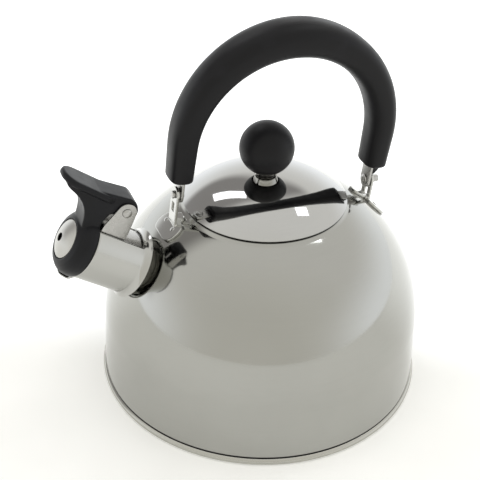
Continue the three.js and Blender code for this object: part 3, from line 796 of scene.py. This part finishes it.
# ---------------------------------------------------------------------------------------------
# Handle grip. A black moulding bent over the arch, thick at its crown and slimmer at its two
# flat ends, where the steel strap inside it comes out.
ARCH_R = 58.6
QUARTER = math.pi / 2 * ARCH_R
ARCH_X, ARCH_Z = 9.9, 150.1
ARCH_LEAN = math.radians(6.5)
HANDLE_FRAME = Matrix.Translation((ARCH_X, 0, ARCH_Z)) @ Matrix.Rotation(ARCH_LEAN, 4, "Y")
FRONT_DROP, REAR_DROP = 20.0, 19.0
PIVOT_DROP = 30.0
GRIP_TOP = (9.8, 12.0)
GRIP_END = (6.6, 8.9)
GRIP_TAPER = 1.4
GRIP_EDGE = 1.6


def on_arch(out, across, along):
    """A point of the arch, from its distance out of the centre line, across it and along it."""
    side = 1 if along >= 0 else -1
    if abs(along) <= QUARTER:
        turn = abs(along) / ARCH_R
        return (side * (ARCH_R + out) * math.sin(turn), across, (ARCH_R + out) * math.cos(turn))
    return (side * (ARCH_R + out), across, -(abs(along) - QUARTER))


def capped(rings):
    """The rings, with both ends closed at their middles."""
    first, last = (tuple(np.mean(rings[k], axis=0)) for k in (0, -1))
    return [[first] * len(rings[0]), *rings, [last] * len(rings[0])]


def grip_rings():
    """Rounded sections along the arch, slimmer toward both ends, whose last edges are rounded off."""
    front, rear = QUARTER + FRONT_DROP, QUARTER + REAR_DROP
    body = np.linspace(GRIP_EDGE - front, rear - GRIP_EDGE, 150)
    turns = np.linspace(0, math.pi / 2, 9)[1:]
    ends = [(GRIP_EDGE * (1 - math.sin(t)), GRIP_EDGE * (1 - math.cos(t))) for t in turns]
    stations = [(short - front, inset) for short, inset in reversed(ends)]
    stations += [(s, 0.0) for s in body] + [(rear - short, inset) for short, inset in ends]
    angles = np.linspace(0, 2 * np.pi, 72, endpoint=False)
    rings = []
    for along, inset in stations:
        t = abs(along) / (front if along < 0 else rear)
        a, b = (top + (end - top) * t ** GRIP_TAPER - inset for top, end in zip(GRIP_TOP, GRIP_END))
        corner = 0.78 - 0.12 * t ** 6
        out = a * np.sign(np.cos(angles)) * np.abs(np.cos(angles)) ** corner
        across = b * np.sign(np.sin(angles)) * np.abs(np.sin(angles)) ** corner
        rings.append([on_arch(o, c, along) for o, c in zip(out, across)])
    return capped(rings)


BLACK_GRIP = black_moulding("black_grip", rough=0.4, pebble=0.08)
grip = lofted("handle_black_grip", grip_rings(), place=HANDLE_FRAME)
rear_tongue = [(QUARTER + REAR_DROP - 1.0, 5.0), (QUARTER + REAR_DROP + 1.0, 5.0),
               (QUARTER + REAR_DROP + 3.6, 3.6), (QUARTER + PIVOT_DROP - 5.4, 1.9)]


def tongue_rings():
    """The tapered stub of the rear end that lies along the outside of the strap."""
    rings = []
    for along, thick in rear_tongue:
        section = softened([(-0.7, -4.4), (-0.7 + thick, -4.0), (-0.7 + thick, 4.0), (-0.7, 4.4)], 0.7, 3)
        rings.append([on_arch(out, across, along) for out, across in section])
    return capped(rings)


grip = joined("handle_black_grip", grip, lofted("stub", tongue_rings(), place=HANDLE_FRAME))
placed(shaded(grip, 50), BLACK_GRIP, "handle", "black_phenolic", "handle_grip")

# ---------------------------------------------------------------------------------------------
# Handle strap. One strip of stainless through the whole grip, with a rounded and drilled end at
# each pivot.
STRAP_OUT = -1.5
STRAP_T = 1.5
STRAP_W = 9.4


def strap_rings():
    """Flat sections along the arch, narrowed round each pivot."""
    pivot = QUARTER + PIVOT_DROP
    tip = [pivot + STRAP_W / 2 * math.sin(t) for t in np.linspace(0, 1.5, 14)]
    half = list(np.linspace(0, pivot, 60)) + tip[1:]
    rings = []
    for along in [-s for s in reversed(half)] + half[1:]:
        past = max(0.0, abs(along) - pivot)
        width = math.sqrt(max((STRAP_W / 2) ** 2 - past ** 2, 0.04))
        t = STRAP_T / 2
        section = softened([(STRAP_OUT - t, -width), (STRAP_OUT + t, -width), (STRAP_OUT + t, width),
                            (STRAP_OUT - t, width)], 0.25, 3)
        rings.append([on_arch(out, across, along) for out, across in section])
    return capped(rings)


strap = lofted("handle_steel_strap", strap_rings(), place=HANDLE_FRAME)
placed(strap, SATIN, "handle", "satin_steel", "handle_core")

# ---------------------------------------------------------------------------------------------
# Brackets. Each is one piece of bent sheet: a foot spot-welded flat on the dome, a small flap
# on its inner side, and an upright tab with a window and the pivot's hole.
BRACKET_T = 1.5
TAB_OUT = 0.9
FEET = {"front": (-1, -56.0, 11.0, -50.6, 6.0), "rear": (1, 67.6, 10.6, 59.4, 11.0)}


def lying_sheet(name, centre, length, width, corner):
    """A sheet with rounded corners, lying on the dome."""
    half = width / 2
    stations = half * np.sin(np.linspace(-np.pi / 2, np.pi / 2, 25))
    rows = []
    for y in stations:
        past = max(0.0, abs(y) - (half - corner))
        reach = length / 2 - corner + math.sqrt(max(corner ** 2 - past ** 2, 0.01))
        xs = centre + reach * np.linspace(-1, 1, 15)
        rows.append([(x, y, float(dome_height(math.hypot(x, y)))) for x in xs])
    sheet = lofted(name, rows, ring_closed=False)
    if sheet.data.polygons[0].normal.z < 0:
        sheet.data.flip_normals()
    return pressed(sheet, BRACKET_T + 0.2, 0.3, offset=1.0)


def upright_tab(name, side):
    """The tab in the fold axis's frame: across against height, rounded over the pivot."""
    half = STRAP_W / 2
    foot = -PIVOT_DROP - 17.5
    outline = [*arc(0, -PIVOT_DROP, half, 0, 180, 28), (-half, foot), (half, foot)]
    window = softened([(-1.7, -40.3), (1.7, -40.3), (1.7, -34.9), (-1.7, -34.9)], 0.6, 3)
    upright = Matrix(((0, 0, 1, 0), (1, 0, 0, 0), (0, 1, 0, 0), (0, 0, 0, 1)))
    place = HANDLE_FRAME @ Matrix.Translation((side * (ARCH_R + TAB_OUT), 0, 0)) @ upright
    return plate(name, [outline, window[::-1]], BRACKET_T, 0.2, place)


BRACKET_STEEL = polished_steel("polished_bracket", (0.54, 0.54, 0.52), 0.14, 0.05)
for end, (side, foot_x, foot_long, flap_x, flap_long) in FEET.items():
    shells = [lying_sheet("foot", foot_x, foot_long, 21.0, 5.0),
              lying_sheet("flap", flap_x, flap_long, 8.0, 2.9), upright_tab("tab", side)]
    cutter = turned("dome_block", [(0, 0), *wall_outline(0.04), (0, 112.6)], BODY_FACETS, joined=False)
    bracket = carved(fused(f"{end}_handle_bracket", 0.24, 3, *shells), cutter)
    placed(bracket, BRACKET_STEEL, "kettle", "polished_steel", f"{end}_bracket")

# ---------------------------------------------------------------------------------------------
# Spot welds. Low round buttons on the bracket feet, one beside each edge of the tab. They are
# flattened spheres, half sunk in the sheet.
WELD_R = 1.5
WELD_APART = 10.4


def weld_tree(tree, into):
    """One flat button on each point of the weld pattern, turned to the dome's slope there."""
    dot = tree.nodes.new("GeometryNodeMeshUVSphere")
    dot.inputs["Segments"].default_value = 20
    dot.inputs["Rings"].default_value = 10
    tree.links.new(into.outputs["Button radius"], dot.inputs["Radius"])
    squash = tree.nodes.new("GeometryNodeTransform")
    tree.links.new(dot.outputs[0], squash.inputs["Geometry"])
    tree.links.new(into.outputs["Flatness"], squash.inputs["Scale"])
    line = tree.nodes.new("GeometryNodeMeshLine")
    line.inputs["Count"].default_value = 2
    tree.links.new(into.outputs["First button"], line.inputs["Start Location"])
    tree.links.new(into.outputs["Step"], line.inputs["Offset"])
    spread = tree.nodes.new("GeometryNodeInstanceOnPoints")
    tree.links.new(line.outputs[0], spread.inputs["Points"])
    tree.links.new(squash.outputs[0], spread.inputs["Instance"])
    tree.links.new(into.outputs["Tilt"], spread.inputs["Rotation"])
    return spread.outputs[0]


def dome_slope(x):
    """How far the dome leans there, turned about Y."""
    return math.atan2(float(dome_height(abs(x) - 1) - dome_height(abs(x) + 1)), 2.0) * (1 if x > 0 else -1)


for end, (side, foot_x, *_) in FEET.items():
    across = WELD_APART / 2
    x = foot_x + side * 0.4
    top = float(dome_height(math.hypot(x, across))) + (BRACKET_T + 0.2) / math.cos(dome_slope(x))
    welds = grow(f"{end}_foot_welds", weld_tree,
                 {"Button radius": WELD_R * MM, "Flatness": Vector((1.0, 1.0, 0.22)),
                  "First button": Vector((x, -across, top)) * MM, "Step": Vector((0, WELD_APART, 0)) * MM,
                  "Tilt": Vector((0.0, dome_slope(x), 0.0))}, BRACKET_STEEL)
    welds.data.shade_smooth()
    placed(welds, BRACKET_STEEL, "kettle", "polished_steel")

# ---------------------------------------------------------------------------------------------
# Pivots. A steel rivet through each tab and strap, headed inside and stubbed outside, with a
# thin washer between the tab and the strap.
for end, side, reach in (("front", -1, 3.2), ("rear", 1, 6.4)):
    at_pivot = (HANDLE_FRAME @ Matrix.Translation((side * ARCH_R, 0, -PIVOT_DROP))
                @ Matrix.Rotation(side * math.pi / 2, 4, "Y"))
    rivet_outline = [(0, -3.6), (1.6, -3.55), (2.6, -3.2), (3.0, -2.6), (3.0, -2.5), (1.6, -2.5),
                     (1.6, 2.0), (2.2, 2.0), (2.2, reach - 0.6), (1.9, reach - 0.15), (1.2, reach),
                     (0, reach)]
    rivet = turned(f"{end}_pivot_pin", rivet_outline, 48, at_pivot, joined=False)
    placed(rivet, SATIN, "kettle", "satin_steel", f"{end}_pivot_rivet")
    ring_outline = softened([(1.9, -0.55), (3.6, -0.55), (3.6, -0.05), (1.9, -0.05)], 0.12, 2)
    ring = turned(f"{end}_pivot_spacer", ring_outline, 48, at_pivot)
    placed(ring, SATIN, "kettle", "satin_steel", f"{end}_pivot_washer")

# ---------------------------------------------------------------------------------------------
# Studio. A wide pale floor with a painted glow, brighter beside and behind the kettle, a soft surrounding
# light that is dimmer on the camera's side, and large soft lamps. The camera looks down on the kettle from
# its front left.
VIEW_FROM = Vector((-205.1, -460.7, 427.5)) * MM
PITCH, YAW, ROLL, TURN = 0.5971, -0.0262, 0.0287, math.radians(24)
FLOOR_SIZE = 4.0
LAMP_REACH = 1.6
KETTLE_MIDDLE = Vector((0, 0, 0.11))


def camera_axes():
    """The camera's right, up and backward directions."""
    forward = Vector((math.sin(YAW) * math.cos(PITCH), math.cos(YAW) * math.cos(PITCH), -math.sin(PITCH)))
    right = forward.cross(Vector((0, 0, 1))).normalized()
    up = right.cross(forward)
    c, s = math.cos(ROLL), math.sin(ROLL)
    level = (c * right + s * up, -s * right + c * up, -forward)
    about = Matrix.Rotation(-TURN, 3, "Z")
    return [about @ axis for axis in level]


def lamp(name, toward, along, size, power, colour):
    """A soft rectangle of light that faces the kettle, its first side lying along a direction."""
    light = bpy.data.lights.new(name, "AREA")
    light.shape = "RECTANGLE"
    light.size, light.size_y = size
    light.energy = power
    light.color = colour
    thing = bpy.data.objects.new(name, light)
    away = Vector(toward).normalized()
    upward = away.cross(Vector(along)).normalized()
    facing = Matrix((upward.cross(away), upward, away)).transposed().to_4x4()
    thing.matrix_world = Matrix.Translation(KETTLE_MIDDLE + away * LAMP_REACH) @ facing
    bpy.context.collection.objects.link(thing)


def toward_near_side(x, y):
    """How far a place or a direction lies to the near side of the kettle."""
    return x * -math.sin(TURN) + y * -math.cos(TURN)


def studio_floor():
    """A pale floor with a painted glow of its own, faint before the object and stronger beside and behind
    it.
    """
    finish = Finish("pale_floor_painted_glow")
    place = finish.add("ShaderNodeTexCoord", out="Object")
    x, y, _ = finish.parts(place)
    radius = place.maths("SQRT", x * x + y * y + 1e-6)
    beside = (toward_near_side(x, y) / radius).ramp(0.15, -0.6)
    fleck = finish.noise(place, 40.0, 4.0)
    tone = finish.mixed(fleck.ramp(0.3, 0.7), (0.92, 0.92, 0.915), (0.94, 0.94, 0.935))
    # Painted light: the floor's own emission, dim on the near side and bright beside and behind the
    # kettle, stands in for light falling there.
    glow = finish.mixed(beside, (0.2, 0.2, 0.19), (0.62, 0.64, 0.66))
    shader = finish.add("ShaderNodeBsdfPrincipled", None,
                        {"Base Color": tone, "Roughness": fleck.ramp(0.3, 0.7, 0.75, 0.85),
                         "Specular IOR Level": 0.2, "Emission Color": glow, "Emission Strength": 1.0})
    return finish.close(shader)


def soft_surround():
    """Light from all round, dimmer and warmer on the near side, with a dark gap high behind the object."""
    surround = Finish("studio_light", bpy.data.worlds.new("studio_light"))
    direction = surround.add("ShaderNodeTexCoord", out="Generated")
    x, y, z = surround.parts(direction)
    near = toward_near_side(x, y).ramp(-0.1, 0.95)
    high = z.ramp(0.0, 0.6)
    gap = (z - x * 0.35).ramp(0.36, 0.52) * z.ramp(0.86, 0.95, 1.0, 0.0) * y.ramp(0.3, 0.55)
    tone = surround.mixed(high, (1.42, 1.45, 1.48), (1.0, 0.99, 0.95))
    tone = surround.mixed(near, tone, (0.9, 0.885, 0.82))
    tone = surround.mixed(gap * 0.8, tone, (0.24, 0.225, 0.22))
    glow = surround.add("ShaderNodeBackground", None, {"Color": tone, "Strength": 1.0})
    return surround.close(glow, "ShaderNodeOutputWorld")


bpy.context.scene.world = soft_surround()
bpy.ops.mesh.primitive_plane_add(size=FLOOR_SIZE, location=(0, 0, 0))
studio = bpy.context.object
studio.name = "studio_floor_plane"
studio.data.materials.append(studio_floor())
lamp("window_lamp", (0.52, 0.1, 0.848), (0, 1, 0), (0.26, 0.24), 0.8, (0.94, 0.97, 1.0))
lamp("back_lamp", (-0.09, 0.65, 0.755), (0.352, -0.131, 0.159), (0.62, 0.25), 1.6, (0.97, 0.98, 1.0))

camera = bpy.data.cameras.new("studio_camera")
camera.sensor_width = 36.0
camera.lens = 79.3
camera.clip_start = 0.01
viewer = bpy.data.objects.new("studio_camera", camera)
viewer.matrix_world = Matrix.Translation(VIEW_FROM) @ Matrix(camera_axes()).transposed().to_4x4()
bpy.context.collection.objects.link(viewer)
bpy.context.scene.camera = viewer
bpy.context.scene.view_settings.view_transform = "Standard"
